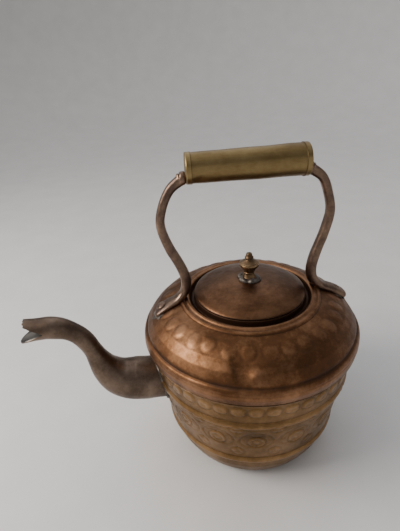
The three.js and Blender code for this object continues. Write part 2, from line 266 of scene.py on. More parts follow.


# %% [markdown]
# ## Finishes
#
# Old copper and brass are dark because a brown oxide grows on them. Hands and rags rub the high
# places bright again, and grime stays in the hollows. So each finish has three colours: worn
# metal, brown patina and grime, laid out by a cloud of patches, by fine grain and by the relief
# of the piece. Every finish is fully metal in the rubbed places and less so where grime lies.
# The grime colour also paints shade where the relief is set very low: in the neck's gutter, under
# the lid's rim and in the crease above the shoulder's band.


# %% Colours and nodes
def srgb(code):
    """A six-figure sRGB hex colour as linear red, green, blue and an alpha of 1."""
    shares = np.array([int(code[i:i + 2], 16) for i in (1, 3, 5)]) / 255
    linear = np.where(shares <= 0.04045, shares / 12.92, ((shares + 0.055) / 1.055) ** 2.4)
    return (*linear, 1.0)


def put(tree, kind, inputs=None, stops=None, **settings):
    """Adds a node. An input is a value, or another node's socket to link. Stops fill a colour ramp."""
    made = tree.nodes.new("ShaderNode" + kind)
    for name, value in settings.items():
        setattr(made, name, value)
    for name, value in (inputs or {}).items():
        if isinstance(value, bpy.types.NodeSocket):
            tree.links.new(value, made.inputs[name])
        else:
            made.inputs[name].default_value = value
    if stops:
        ramp = made.color_ramp.elements
        while len(ramp) < len(stops):
            ramp.new(1.0)
        for element, (place, colour) in zip(ramp, stops):
            element.position, element.color = place, colour
    return made


TINNED = srgb("#56534f")   # old tin on the inside: grey, dull
GRAIN, SPECKS = 2.4, 6.5   # millimetres: fine wear, drawn coarse enough to show, and spots of oxide
GRAIN_DEPTH = 0.12         # millimetres
FACET_GAIN = 4             # the smoothed cell distance spans only a part of 1, so it is scaled up


def aged_metal(name, worn, patina, grime_and_shade, patch, mark, roughness, stretch=(1, 1, 1), dent=0.12):
    """A metal with patches `patch` mm wide and tool marks `mark` mm wide and `dent` mm deep."""
    material = bpy.data.materials.new(name)
    material.use_nodes = True
    tree = material.node_tree
    shader = tree.nodes["Principled BSDF"]
    place = put(tree, "TexCoord").outputs["Object"]
    drawn = put(tree, "Mapping", {"Vector": place, "Scale": stretch}).outputs["Vector"]
    patches, grain, specks = (
        put(tree, "TexNoise", {"Vector": at, "Scale": 1 / (wide * MM), "Detail": detail,
                               "Roughness": rough})
        for at, wide, detail, rough in ((drawn, patch, 6, 0.62), (drawn, GRAIN, 4, 0.7),
                                        (place, SPECKS, 5, 0.75))
    )
    relief = put(tree, "Attribute", attribute_name="relief").outputs["Fac"]
    lining = put(tree, "Attribute", attribute_name="lining").outputs["Fac"]

    mixed = put(tree, "Math", {0: relief, 1: 0.13}, operation="MULTIPLY").outputs[0]
    for cloud, share in ((patches, 0.62), (grain, 0.16), (specks, 0.22)):
        mixed = put(tree, "Math", {0: cloud.outputs["Fac"], 1: share, 2: mixed},
                    operation="MULTIPLY_ADD").outputs[0]
    # The first stop is grime, and also painted shade where a piece sets its relief very low.
    tone = put(tree, "ValToRGB", {"Fac": mixed}, [(0.32, grime_and_shade), (0.46, patina), (0.68, worn)])
    tinned = put(tree, "Mix", {0: lining, 6: tone.outputs["Color"], 7: TINNED}, data_type="RGBA")
    tree.links.new(tinned.outputs[2], shader.inputs["Base Color"])

    dull, bright = roughness
    gloss = {"Value": mixed, "From Min": 0.36, "From Max": 0.64, "To Min": dull, "To Max": bright}
    tree.links.new(put(tree, "MapRange", gloss).outputs[0], shader.inputs["Roughness"])
    metal = {"Value": mixed, "From Min": 0.34, "From Max": 0.46, "To Min": 0.8, "To Max": 1.0}
    tree.links.new(put(tree, "MapRange", metal).outputs[0], shader.inputs["Metallic"])

    facets = put(tree, "TexVoronoi", {"Vector": place, "Scale": 1 / (mark * MM), "Smoothness": 0.7},
                 feature="SMOOTH_F1")
    hammered = put(tree, "Bump", {"Height": facets.outputs["Distance"],
                                  "Distance": dent * MM * FACET_GAIN, "Strength": 0.5})
    worn_skin = put(tree, "Bump", {"Height": grain.outputs["Fac"], "Distance": GRAIN_DEPTH * MM,
                                   "Strength": 0.35, "Normal": hammered.outputs["Normal"]})
    tree.links.new(worn_skin.outputs["Normal"], shader.inputs["Normal"])
    return material


# %% The kettle's own finishes
# Raised copper: brown oxide over red metal, rubbed to tan, with wide shallow hammer facets.
shoulder_copper = aged_metal("raised_copper_brown", srgb("#936c4f"), srgb("#5b3d27"), srgb("#3e2819"),
                             patch=42, mark=11, roughness=(0.52, 0.37))
# The same copper lower down, where heat and cleaning have turned it more yellow.
lower_copper = aged_metal("raised_copper_tan", srgb("#957552"), srgb("#6e5334"), srgb("#4c3720"),
                          patch=36, mark=9, roughness=(0.5, 0.34))
# The lid is spun smoother, and darker, because soot and steam meet it.
lid_copper = aged_metal("lid_copper", srgb("#7b5a42"), srgb("#533927"), srgb("#3a2618"),
                        patch=48, mark=14, roughness=(0.44, 0.3))
# The spout was tinned once: its patina is greyer, and the grain runs along it.
spout_copper = aged_metal("spout_copper", srgb("#816f61"), srgb("#5b4c41"), srgb("#41362e"),
                          patch=30, mark=10, roughness=(0.5, 0.36))
# Sheet brass, rolled and handled: yellow-green, with streaks drawn along the grip.
grip_brass = aged_metal("handled_sheet_brass", srgb("#98845c"), srgb("#7a6643"), srgb("#5a482c"),
                        patch=20, mark=16, roughness=(0.46, 0.32), stretch=(0.25, 1, 1), dent=0.06)
# Cast brass, filed and tarnished brown, with close file and hammer marks. The finial's is turned.
cast_brass = aged_metal("tarnished_cast_brass", srgb("#8f7763"), srgb("#625046"), srgb("#44372f"),
                        patch=16, mark=5, roughness=(0.46, 0.28), dent=0.12)
finial_brass = aged_metal("turned_brass", srgb("#8c7356"), srgb("#65503b"), srgb("#423225"),
                          patch=9, mark=6, roughness=(0.42, 0.26), dent=0.05)
# Soft solder: grey, lumpy and matte.
tin_solder = aged_metal("tin_solder", srgb("#77716a"), srgb("#57504a"), srgb("#38312c"),
                        patch=7, mark=3, roughness=(0.6, 0.42), dent=0.2)
print("finishes from", shoulder_copper.name, "to", tin_solder.name)

# %% [markdown]
# ## Lower body
#
# One sheet, raised over stakes: a flat bottom, a flared wall with two half-round beads, and a
# flange under the seam. The wall is chased from outside and bossed from inside. A row of oval
# bosses runs under the seam. Below it, round medallions take turns with upright sprigs. Each
# pattern is a sum of soft humps and grooves, worked out in millimetres on the wall and repeated
# by folding the angle back into one pitch.


# %% Motifs that repeat round the pot
def hump(distance, width):
    """A soft round rise: exp(-(distance / width) squared)."""
    return np.exp(-(distance / width) ** 2)


def folded(theta, first, count, wander=0.0):
    """The angle from the nearest of `count` evenly spaced motifs, and a number for each motif."""
    pitch = 2 * np.pi / count
    turns = (theta - first) / pitch
    which = np.round(turns).astype(int) % count
    drift = chance.normal(size=count)
    return (turns - np.round(turns)) * pitch + wander * drift[which], drift[which]


COLUMNS = 520
theta = round_steps(COLUMNS)[None]
OVALS, FIRST_OVAL, OVAL_ROW = 41, -98.4, 109                  # how many, degrees, millimetres up
MEDALLIONS, FIRST_MEDALLION, MEDALLION_ROW = 16, -97.6, 67
FIRST_SPRIG, SPRIG_ROW = FIRST_MEDALLION + 180 / MEDALLIONS, 68   # half a pitch on


def ovals(radius, height):
    """Rounded bosses with a dished middle: |u/a|^2.6 + |v/b|^2.6 is 1 on the edge."""
    off, drift = folded(theta, np.radians(FIRST_OVAL), OVALS, wander=0.006)
    u, v = off * radius, height - OVAL_ROW - 0.5 * drift
    edge = np.abs(u / (5.6 + 0.3 * drift)) ** 2.6 + np.abs(v / 4.7) ** 2.6
    rise = 1 / (1 + np.exp((edge - 0.85) / 0.16))
    return 1.0 * rise - 0.45 * hump(np.hypot(u, v), 2.6) - 0.4 * hump(edge - 1.6, 0.5)


def medallions(radius, height):
    """A grooved ring round a small boss with petals, under two arcs."""
    off, drift = folded(theta, np.radians(FIRST_MEDALLION), MEDALLIONS, wander=0.008)
    u, v = off * radius, height - MEDALLION_ROW - 0.8 * drift
    away, way_round = np.hypot(u, v), np.arctan2(v, u)
    petals = 0.5 + 0.5 * np.cos(7 * way_round)
    ring = 0.6 * hump(away - 6.2, 1.0) - 0.7 * hump(away - 8.1, 0.8)
    arcs = hump(np.hypot(u, v + 1) - 11.6, 0.8) + hump(np.hypot(u, v + 1) - 14.6, 0.8)
    flower = 0.5 * hump(away, 2.2) - 0.35 * petals * hump(away - 4, 1)
    return ring + flower - 0.45 * arcs * (v > 4 - 0.2 * away)


def sprigs(radius, height):
    """An hourglass of two arcs, with a three-lobed bud at each end."""
    off, _ = folded(theta, np.radians(FIRST_SPRIG), MEDALLIONS, wander=0.008)
    u, v = np.abs(off * radius), height - SPRIG_ROW
    waist = -0.6 * hump(np.hypot(u - 11, v) - 8.4, 0.9) * hump(v, 9)
    end = np.abs(v)
    stem = -0.5 * hump(u, 0.8) * hump(end - 11, 2.4)
    buds = hump(np.hypot(u - 3.4, end - 15.5), 1.9) + hump(np.hypot(u, end - 20), 2.1)
    outline = hump(np.hypot(u, end - 17.4) - 6.2, 0.9)
    return waist + stem + 0.6 * buds - 0.45 * outline


print(OVALS, "ovals,", MEDALLIONS, "medallions and", MEDALLIONS, "sprigs round the pot")

# %% The lower body's wall
lower_outline = placed([
    [0, 0], [60, 0], [66.5, 1.8], [73, 9.5], [79, 22], [83, 40], [87, 63], [91.9, 90.6],
    [95.6, 118.4], [96.2, 119.3], [98.7, 119.9], [98.7, 121], [96, 121.5], [95.9, 132],
], "lower_body")
BEADS = 36.2, 90.6   # the heights of their middles
SHEET = 1.2          # the copper's thickness
FLAT = 60            # the radius of the flat bottom
LAP = 122.5, 123     # the height where the wall meets the seam, and where the sleeve goes on inside it


def lower_relief(line):
    """Two reliefs in millimetres: the half-round beads, and everything chased into the wall."""
    radius, height = line[:, :1], line[:, 1:]
    beads = sum(1.9 * np.sqrt(np.clip(1 - ((height - b) / 2.7) ** 2, 0, 1)) for b in BEADS)
    lines = sum(-0.5 * hump(height - b - s * 4.2, 0.8) for b in BEADS for s in (-1, 1))
    chased = ovals(radius, height) + medallions(radius, height) + sprigs(radius, height)
    return beads, lines + chased


fine = softened(lower_outline, 1.6, 1200)
radius, height = fine.T
across = np.linspace(0, FLAT, 5)
foot = np.column_stack([across, np.interp(across, radius[:400], height[:400])])
wall = even_steps(fine[(radius > FLAT + 1) & (height < LAP[0])], 124)
sleeve = even_steps(fine[height > LAP[1]], 5)
outer = np.vstack([foot, wall, sleeve])
beads, chased = lower_relief(outer)
swell = round_waves(outer, COLUMNS, 90, 0.35) + round_waves(outer, COLUMNS, 13, 0.05)
fade = np.clip((outer[:, 1:] - 3) / 12, 0, 1) * np.clip((121 - outer[:, 1:]) / 4, 0, 1)
inner = even_steps(fine - SHEET * outward(fine), 26)[::-1]
inner[-1, 0] = 0
marks = np.vstack([0.85 * chased * fade + 0.35 * beads, np.zeros((len(inner), COLUMNS))])
piece("lower_wall", [closed_grid(
    np.vstack([turned(outer, COLUMNS, beads + (chased + swell) * fade), turned(inner, COLUMNS)]),
    relief=marks, lining=np.r_[np.zeros(len(outer)), np.ones(len(inner))][:, None],
)], lower_copper, "body_copper", "pot", "lower_body")

# %% [markdown]
# ## Shoulder
#
# The shoulder is a dome with a rolled band at its foot, which laps over the lower body. A row of
# round bosses runs round its top, struck from inside, so each one catches the light on one side.
# One dent sits on the turn of the shoulder: a shallow bowl with a crease along one edge.

# %% The shoulder's dome, band, bosses and dent
shoulder_outline = placed([
    [99.1, 122.2], [100.2, 127.5], [100, 132.5], [98.4, 136.6], [97.2, 138.6], [91.9, 146.4],
    [85.6, 152.3], [79, 156], [72.9, 158.9], [64.6, 161.5], [62.6, 162.1],
], "shoulder_dome")
BOSSES, FIRST_BOSS, BOSS_RING = 31, -90.5, 78   # how many, degrees, and their circle's radius
DENT_HEADING, DENT_RING = 256, 90.5             # degrees and radius
BAND_MIDDLE, CREASE = 129.5, 137.4              # heights of the rolled band and the crease above it


def round_bosses(line, along):
    """Flat-topped discs: a steep edge where the distance from the middle passes 4.9 mm."""
    off, drift = folded(theta, np.radians(FIRST_BOSS), BOSSES, wander=0.012)
    middle = np.interp(BOSS_RING, line[::-1, 0], along[::-1, 0]) + 0.7 * drift
    away = np.hypot(off * line[:, :1], (along - middle) * 0.88)
    return (0.42 + 0.1 * drift) / (1 + np.exp((away - 4.9) / 0.6)) - 0.12 * hump(away - 6.9, 1.1)


def dent(line, along):
    """A bowl 2.3 mm deep, cut off sharply on its left by a crease, with a low lump on its right."""
    off = (theta - np.radians(DENT_HEADING) + np.pi) % (2 * np.pi) - np.pi
    u = off * line[:, :1]
    v = along - np.interp(DENT_RING, line[::-1, 0], along[::-1, 0])
    sharp = 1 / (1 + np.exp(-(u + 9 + 0.25 * v) / 0.9))
    return -2.3 * hump(u + 2, 11) * hump(v, 11) * sharp + 0.9 * hump(np.hypot(u - 8, v + 4), 4)


dome = softened(shoulder_outline, 1.2, 110)
along = length_along(dome)[:, None]
roll = hump(dome[:, 1:] - BAND_MIDDLE, 5)
crease = 0.4 * roll - 1.3 * hump(dome[:, 1:] - CREASE, 1.5) - 0.3 * hump(dome[:, 1:] - 131.4, 0.8)
bosses = round_bosses(dome, along)
swell = round_waves(dome, COLUMNS, 80, 0.45) + round_waves(dome, COLUMNS, 12, 0.05)
rim = np.clip(along / 6, 0, 1) * np.clip((along[-1] - along) / 10, 0, 1)
rise = crease + (bosses + dent(dome, along) + swell) * rim
inside = turned(dome, COLUMNS, rise - SHEET)[::-4]
# The rolled band is coloured lighter, and the dip of the crease above it darkens the colour: painted
# shade in the crease.
marks = np.vstack([bosses * rim + crease + 0.3 * roll, np.zeros(inside.shape[:2])])
piece("shoulder", [closed_grid(
    np.vstack([turned(dome, COLUMNS, rise), inside]), ring=True, relief=marks,
    lining=np.r_[np.zeros(len(dome)), np.ones(len(inside))][:, None],
)], shoulder_copper, "body_copper", "pot", "shoulder_dome")

# %% [markdown]
# ## Neck ring and lid
#
# The neck is one strip: two rolled ridges that catch the light, a gutter, and an upright lip that
# the lid closes on. The lid is a shallow dome with a faint step round its edge, and a flange under
# it that drops inside the neck and keeps it from sliding off.


# %% Neck ring
SHADE_RELIEF = -2.6   # a relief so low that the grime colour covers the metal: painted shade


def band(name, outline, node, columns, soft, rows, finish, body, lined, shade_within=0.0):
    """A ring-shaped shell whose outline closes on itself, a little uneven. Inside the radius given last,
    the colour is painted shade.
    """
    shape = softened(placed(outline + outline[:1], node), soft, rows + 1, loop=True)[:-1]
    out = turned(shape, columns)
    out[..., 2] += 0.12 * waves(out[..., 0], out[..., 1], 70)
    lining = lined(shape).astype(float)[:, None]
    # Colour by height: lighter at the top and darker lower down, with painted shade in the lowest parts.
    relief = np.clip((shape[:, 1:] - shape[:, 1].max() + 2.4) / 1.6, SHADE_RELIEF, 0.7)
    relief = np.where(shape[:, :1] < shade_within, SHADE_RELIEF, relief)
    piece(name, [closed_grid(out, ring=True, relief=relief, lining=lining)],
          finish, "body_copper", body, node)


# The neck's gutter, inside radius 52.8, is painted dark: painted shade under the lid's edge.
band("neck", [
    [65, 161.9], [64.2, 163.3], [62.6, 164.1], [61.2, 164], [60.2, 163.7], [59.4, 164],
    [58.4, 164.8], [57.1, 165], [55.9, 164.3], [54.4, 161.4], [53.6, 160.2], [51.6, 159.8],
    [50.8, 160.8], [50.6, 165.7], [49.9, 165.9], [49.3, 165.7], [49.2, 154], [50.2, 153.9],
    [50.3, 158.3], [54.2, 158.5], [57.6, 162.2], [60.3, 160.8], [62.2, 161.2],
], "neck_ring", columns=260, soft=0.35, rows=150, finish=shoulder_copper, body="pot", shade_within=52.8,
    lined=lambda shape: (shape[:, 0] < 50) & (shape[:, 1] < 165))

# %% Lid
LID_RADIUS, _, LID_TOP = edges_of("lid_dome")[1]
lid_line = np.array([
    [2.7, 0], [10, -0.1], [18, -0.8], [28, -2.3], [37, -4.5], [42.8, -6.4], [43.6, -6.65],
    [44.6, -7.15], [48.4, -9.1], [49.9, -10.1], [50.4, -10.9], [50, -11.3], [48.8, -11.3],
    [48.2, -10.4], [43, -8.4], [30, -4.4], [18, -2.5], [2.7, -1.6],
])
lid_line += [LID_RADIUS - lid_line[:, 0].max(), LID_TOP]
lid_shape = softened(np.vstack([lid_line, lid_line[:1]]), 0.5, 131, loop=True)[:-1]
lid_grid = turned(lid_shape, 300)
x, y = lid_grid[..., 0], lid_grid[..., 1]
away = np.hypot(x, y)
ease = np.clip((LID_RADIUS - 3 - away) / 8, 0, 1) * np.clip((away - 6) / 8, 0, 1)
lid_grid[..., 2] += ease * (0.45 * waves(x, y, 45) + 0.04 * waves(x, y, 9))
past_edge = np.arange(len(lid_shape)) > np.argmin(lid_shape[:, 1])
underneath = past_edge & (lid_shape[:, 0] < LID_RADIUS - 3)
# The underside of the lid's rolled rim is painted dark: painted shade over the gutter.
rim_shade = -2.4 * (lid_shape[:, 1:] < LID_TOP - 10.4)
piece("lid", [closed_grid(
    lid_grid, ring=True, relief=rim_shade, lining=underneath.astype(float)[:, None],
)], lid_copper, "body_copper", "lid", "lid_dome")

# %% Lid flange
band("lid_flange_ring", [
    [47.2, 153.4], [47.8, 153.2], [48.2, 153.8], [48.2, 166.1], [47.2, 166.7], [47.1, 160],
], "lid_flange", columns=200, soft=0.3, rows=60, finish=lid_copper, body="lid",
    lined=lambda shape: shape[:, 0] < 47.6)

# %% [markdown]
# ## Finial
#
# A small brass acorn turned on a lathe: a foot, a waist, a wide collar with a sharp edge, and a
# stepped tip. Its tenon goes through the lid and is hammered over a washer. Solder was run round
# the foot. It climbs the metal as a skirt, and it is uneven.

# %% Finial
finial_line = np.array([
    [0, -5.3], [3.4, -5.1], [3.6, -4.4], [2.4, -3.8], [2.4, -0.1], [7.2, 0], [7.2, 0.8], [6.4, 1.7],
    [5.7, 3], [5.2, 4.6], [5, 5.8], [5.4, 6.3], [5.4, 6.9], [5, 7.4], [5.5, 9], [7, 11.3],
    [8.7, 13.3], [9.1, 14.6], [8.8, 15.7], [7.2, 16.9], [5.3, 17.9], [3.9, 18.8], [3.4, 19.6],
    [3.9, 20.3], [3.9, 21.3], [3.3, 22.2], [2.8, 22.8], [2.9, 23.7], [2.4, 24.9], [0, 25.7],
])
finial_line[:, 1] += edges_of("finial")[1][2] - finial_line[-1, 1]
finial_shape = softened(finial_line, 0.28, 190)
tool_lines = 0.05 * np.sin(finial_shape[:, 1:] * 2 * np.pi / 0.9)   # a groove each 0.9 mm
piece("finial_acorn", [closed_grid(
    turned(finial_shape, 96, tool_lines + round_waves(finial_shape, 96, 7, 0.08)),
    relief=np.clip((finial_shape[:, :1] - 5.5) / 3.5, -0.8, 0.8),
)], finial_brass, "cast_brass", "lid", "finial")


# %% Solder round the finial's foot
def solder_ring(name, middle, normal, wide, tall, lumpy, body, node):
    """A lumpy bead of solder round a closed line of points: an oval section in each point's frame."""
    ahead = unit(np.roll(middle, -1, axis=0) - np.roll(middle, 1, axis=0))
    side = np.cross(ahead, normal)
    angle = round_steps(24)
    circle = round_steps(len(middle))[:, None]
    lumps = 1 + lumpy * waves(6 * np.cos(circle) + 0 * angle, 6 * np.sin(circle) + 2 * np.cos(angle), 5)
    offset = (side[:, None] * (wide * lumps * np.cos(angle))[..., None]
              + normal[:, None] * (tall * lumps * np.sin(angle))[..., None])
    bead = closed_grid(middle[:, None] + offset, ring=True)
    piece(name, [bead], tin_solder, "tin_solder", body, node)


ring = round_steps(120)
spread = 6.9 + 0.5 * np.cos(2 * ring + 1) + 0.3 * np.cos(5 * ring)
ring_height = edges_of("finial_solder")[0][2] + 0.1
ring_place = np.column_stack([spread * np.cos(ring), spread * np.sin(ring), ring_height + 0 * ring])
solder_ring("finial_solder_ring", ring_place, np.tile([0.0, 0, 1], (120, 1)),
            wide=3.2, tall=2.7, lumpy=0.3, body="lid", node="finial_solder")

# %% [markdown]
# ## Spout
#
# A tube bent like a swan's neck, stout at the root and drawn in at the throat. Its end is snipped
# into an open beak: the lower jaw is longer, and a V runs back between the jaws on both sides. The
# tube is a circle carried along the bend, and each line along it has its own length. At the root
# that length starts on the pot's wall, and at the beak it ends where the snips went.

# %% The spout's bend and radius
SPOUT_TURN = np.radians(6)              # about the pot's axis, towards -Y
THROAT, ROOT, MOUTH = 8.2, 12.1, 1.8    # its least radius, and how much more it has at either end
bend = through([
    [-78, 80.8], [-95, 83], [-108, 84.6], [-120.3, 87.1], [-131.5, 93.4], [-139.6, 103.4],
    [-144.6, 115], [-148.6, 127.8], [-153, 139], [-159.5, 148.2], [-168.5, 155.2], [-179.6, 158.9],
    [-190, 159.7], [-212, 160.6],
], 600)
share = np.linspace(0, 1, len(bend))


def ease_between(t, start, end):
    """0 before start, 1 after end, and 3x^2 - 2x^3 between them."""
    x = np.clip((t - start) / (end - start), 0, 1)
    return x * x * (3 - 2 * x)


stout = THROAT + ROOT * (1 - ease_between(share, 0.2, 0.58)) + MOUTH * ease_between(share, 0.6, 0.9)
way = unit(np.gradient(bend, axis=0))
print("spout:", round(length_along(bend)[-1]), "mm along its bend, radius", round(stout[0], 1),
      "mm at the root and", round(stout.min(), 1), "mm at the throat")


def on_spout(t, around, shrink=0.0):
    """The point at share t of the bend and angle `around`, 0 on top: middle + radius x normal."""
    x, z, ahead_x, ahead_z, radius = (
        np.interp(t, share, values) for values in (*bend.T, *way.T, stout))
    lift, side = (radius - shrink) * np.cos(around), (radius - shrink) * np.sin(around)
    x, z = x + ahead_z * lift, z - ahead_x * lift
    turned_x = x * np.cos(SPOUT_TURN) - side * np.sin(SPOUT_TURN)
    turned_y = x * np.sin(SPOUT_TURN) + side * np.cos(SPOUT_TURN)
    return np.stack([turned_x, turned_y, z], axis=-1)


# %% Where the spout starts and ends
SNIP, UPPER_JAW, LOWER_JAW = 185, 15, 20.4   # the notch's place along -X, and how far each jaw passes it
around = round_steps(144)
level = np.cos(around)
upper = UPPER_JAW * ease_between(level, -0.1, 0.9) + 0.5 * np.cos(17 * around) * (level > 0.6)
lower = LOWER_JAW * np.clip(-level - 0.1, 0, 0.9) ** 0.75 / 0.9**0.75
reach_at_mouth = SNIP + np.where(level > -0.1, upper, lower)
mouth_share = np.interp(reach_at_mouth, -bend[:, 0], share)

trial = np.linspace(0, 0.45, 900)[:, None]
tested = on_spout(trial, around[None])
flank = fine[(radius > 70) & (height < 119)]
wall_radius = np.interp(tested[..., 2], flank[:, 1], flank[:, 0])
clear = np.hypot(tested[..., 0], tested[..., 1]) > wall_radius + 0.2
root_share = trial[clear.argmax(axis=0), 0]
print("mouth from", reach_at_mouth.min().round(1), "to", reach_at_mouth.max().round(1), "mm out")

# %% The spout's skin and its solder
ROWS = 230
row = np.linspace(0, 1, ROWS)[:, None]
t = root_share + (mouth_share - root_share) * row
skin = on_spout(t, around[None])
run = 260 * t   # half as much again as the real length, so that dents are shorter along than round
dents = waves(run, 9 * np.cos(around) + 0 * t, 34) + waves(run, 9 * np.sin(around) + 0 * t, 34)
out = skin - on_spout(t, around[None], 1.0)
flare = 0.9 * ease_between(row, 0.93, 1.0) * np.clip(-level, 0, 1)
skin += out * (0.22 * dents * np.clip(row * 8, 0, 1) + flare)[..., None]
hollow = (on_spout(t, around[None], 1.3) + out * flare[..., None])[::-1]
lip = 0.5 * (skin[-1:] + hollow[:1]) + 0.2 * (skin[-1:] - skin[-2:-1])
piece("swan_neck_spout", [closed_grid(
    np.vstack([skin, lip, hollow]), ring=True,
    relief=np.vstack([0.35 * dents, np.zeros((ROWS + 1, len(around)))]),
    lining=np.r_[np.zeros(ROWS), np.ones(ROWS + 1)][:, None],
)], spout_copper, "spout_copper", "pot", "spout")

root_line = skin[0] + 0.6 * out[0]
from_axis = unit(root_line * [1, 1, 0])
solder_ring("spout_root_solder", root_line - 0.2 * from_axis, from_axis,
            wide=2.1, tall=1.7, lumpy=0.45, body="pot", node="spout_solder")

# %% [markdown]
# ## Handle arms
#
# Two cast brass arms, each a bowed bar with an eye at the top for the tie rod and a leaf-shaped
# foot that lies on the shoulder. The bar is an oval carried along its bend. It is squarer than an
# ellipse, because it was filed. Where the foot meets the shoulder its underside is laid on the
# dome. A voxel remesh then fuses bar and eye into one skin, as in the casting, and a few rounds
# of smoothing take the voxels' steps away.


# %% The bend of an arm
ANKLE = 57.3         # how near the axis an arm comes, just above its foot
SHOULDER_EDGE = 62   # the shoulder's inner edge: only what is outside it can rest on the dome
ROD_HEIGHT = np.mean([corner[2] for corner in edges_of("grip_tie_rod")])


def on_dome(away, lift):
    """The height of the shoulder's skin at a distance from the axis, plus a lift."""
    return np.interp(away, dome[::-1, 0], dome[::-1, 1]) + lift


def arm_line(bow, face, tip):
    """The bend of an arm on the +X side: from the cap's face out to the bow, in, and down the foot."""
    out = bow - ANKLE
    return softened(through([
        [face + 1, ROD_HEIGHT + 0.2], [face + 6, ROD_HEIGHT - 2.6], [face + 13.4, 266],
        [bow - 3, 253.4], [bow + 0.6, 236.5], [ANKLE + 0.75 * out, 217], [ANKLE + 0.4 * out, 203.5],
        [ANKLE + 0.12 * out, 191.5], [ANKLE, 180.8], [59.6, 170.8], [66.6, 163.4], [75.6, 159.6],
        [83.4, 155.6], tip,
    ], 190), 6, 190)


# %% The skin of an arm
def arm_widths(t, foot_wide, foot_deep):
    """Half the bar's width and depth at each share t of its length, rounded off at both ends."""
    wide = np.interp(t, [0, 0.3, 0.6, 0.74, 0.83, 0.9, 0.96, 1], [4.2, 4.4, 4.8, 5, *foot_wide])
    deep = np.interp(t, [0, 0.12, 0.3, 0.6, 0.72, 0.86, 1], [4.6, 3.8, 3.9, 4.5, 4.7, *foot_deep])
    window = np.hanning(15) / np.hanning(15).sum()
    ends = np.sqrt(np.clip(1 - np.clip((t - 0.965) / 0.035, 0, 1) ** 2, 0, 1))
    ends *= np.sqrt(np.clip(1 - np.clip((0.012 - t) / 0.012, 0, 1) ** 2, 0, 1))
    return [np.convolve(np.pad(v, 7, "edge"), window, "valid") * ends for v in (wide, deep)]


def arm_skin(line, side, foot_wide, foot_deep, foot_aside):
    """Sections |y/w|^2.5 + |n/d|^2.5 = 1 along the bend, with the foot's underside on the dome."""
    t = np.linspace(0, 1, len(line))
    wide, deep = arm_widths(t, foot_wide, foot_deep)
    ahead = unit(np.gradient(line, axis=0))
    angle = round_steps(40)[None]
    cosine, sine = np.cos(angle), np.sin(angle)
    blunt = (np.abs(cosine) ** 2.5 + np.abs(sine) ** 2.5) ** (-1 / 2.5)
    run = 150 * t[:, None]   # about the arm's length, in millimetres
    filed = 1 + 0.012 * waves(run, 5 * cosine, 16) + 0.015 * waves(run, 5 * sine, 40)
    lift = deep[:, None] * blunt * filed * cosine
    across = wide[:, None] * blunt * filed * sine
    across = across + foot_aside * (np.clip((t - 0.78) / 0.22, 0, 1) ** 1.5)[:, None]
    x = line[:, :1] - ahead[:, 1:] * lift
    z = line[:, 1:] + ahead[:, :1] * lift
    away = np.hypot(x, across)
    z = np.where(away > SHOULDER_EDGE, np.maximum(z, on_dome(away, 0.15)), z)
    return np.stack([side * x, across, z], axis=-1)


# %% Both arms
VOXEL = 0.5   # millimetres


def arm(name, node, side, bow, tip, foot_wide, foot_deep, foot_aside):
    """The bar and the round eye at its top, fused into one casting."""
    cap_edges = edges_of("grip_cap_rear" if side > 0 else "grip_cap_front")
    face = max(abs(corner[0]) for corner in cap_edges)
    bar = arm_skin(arm_line(bow, face, tip), side, foot_wide, foot_deep, foot_aside)
    eye_line = softened([[0, face + 0.3], [5.3, face + 0.3], [5.6, face + 2.2], [5.2, face + 4.6],
                         [3.2, face + 5.3], [0, face + 5.3]], 0.8, 40)
    eye = turned(eye_line * [1, side], 48, axis="X", centre=ROD_HEIGHT)
    made = piece(name, [closed_grid(bar), closed_grid(eye)], cast_brass, "cast_brass", "pot", node)
    fuse = made.modifiers.new("fused casting", "REMESH")
    fuse.mode, fuse.voxel_size, fuse.use_smooth_shade = "VOXEL", VOXEL * MM, True
    ease = made.modifiers.new("filed smooth", "SMOOTH")
    ease.factor, ease.iterations = 0.5, 6


arm("arm_front", "handle_arm_front", side=-1, bow=74.4, tip=[89, 150.8],
    foot_wide=(6.4, 8.2, 7.6, 4.6), foot_deep=(3.0, 2.0), foot_aside=-5)
arm("arm_rear", "handle_arm_rear", side=1, bow=69.6, tip=[91.5, 149.8],
    foot_wide=(6.6, 7.8, 7.6, 7.2), foot_deep=(4.2, 4.4), foot_aside=-2)

# %% [markdown]
# ## Rivets and solder at the feet
#
# One rivet holds each foot. Its head was hammered from a round bar, so it is a lopsided dome. Soft
# solder was then run round the foot's end. It lies on the dome as a thin lumpy sheet with a wavy
# shore, thickest against the foot.


# %% Foot rivets
SHOULDER_LEAN = np.radians(28.5)   # how far the shoulder leans out where the rivets stand
RIVET_RADIUS, RIVET_HEIGHT = 80, 155.4


def foot_rivet(name, side, node, aside):
    """A turned rivet, with its head dented by waves, leaning outwards with the shoulder."""
    line = softened([
        [0, 6.6], [2.4, 6.4], [4.2, 5.5], [5, 4.4], [4.4, 3.8], [2, 3.6], [2, -1.6], [3.4, -1.7],
        [3.2, -2.7], [0, -3.1],
    ], 0.6, 60)
    grid = turned(line, 48, round_waves(line, 48, 6, 0.35) * (line[:, 1:] > 3.9))
    x = grid[..., 0] * np.cos(SHOULDER_LEAN) + grid[..., 2] * np.sin(SHOULDER_LEAN)
    z = grid[..., 2] * np.cos(SHOULDER_LEAN) - grid[..., 0] * np.sin(SHOULDER_LEAN)
    grid = np.stack([side * (x + RIVET_RADIUS), grid[..., 1] + aside, z + RIVET_HEIGHT], axis=-1)
    piece(name, [closed_grid(grid)], cast_brass, "cast_brass", "pot", node)


# %% Foot solder
POOL_RADIUS = 84.2                                # how far its middle is from the axis
POOL_LONG, POOL_WIDE, POOL_DEEP = 6.9, 8.6, 2.1   # half its length and width, and its thickness


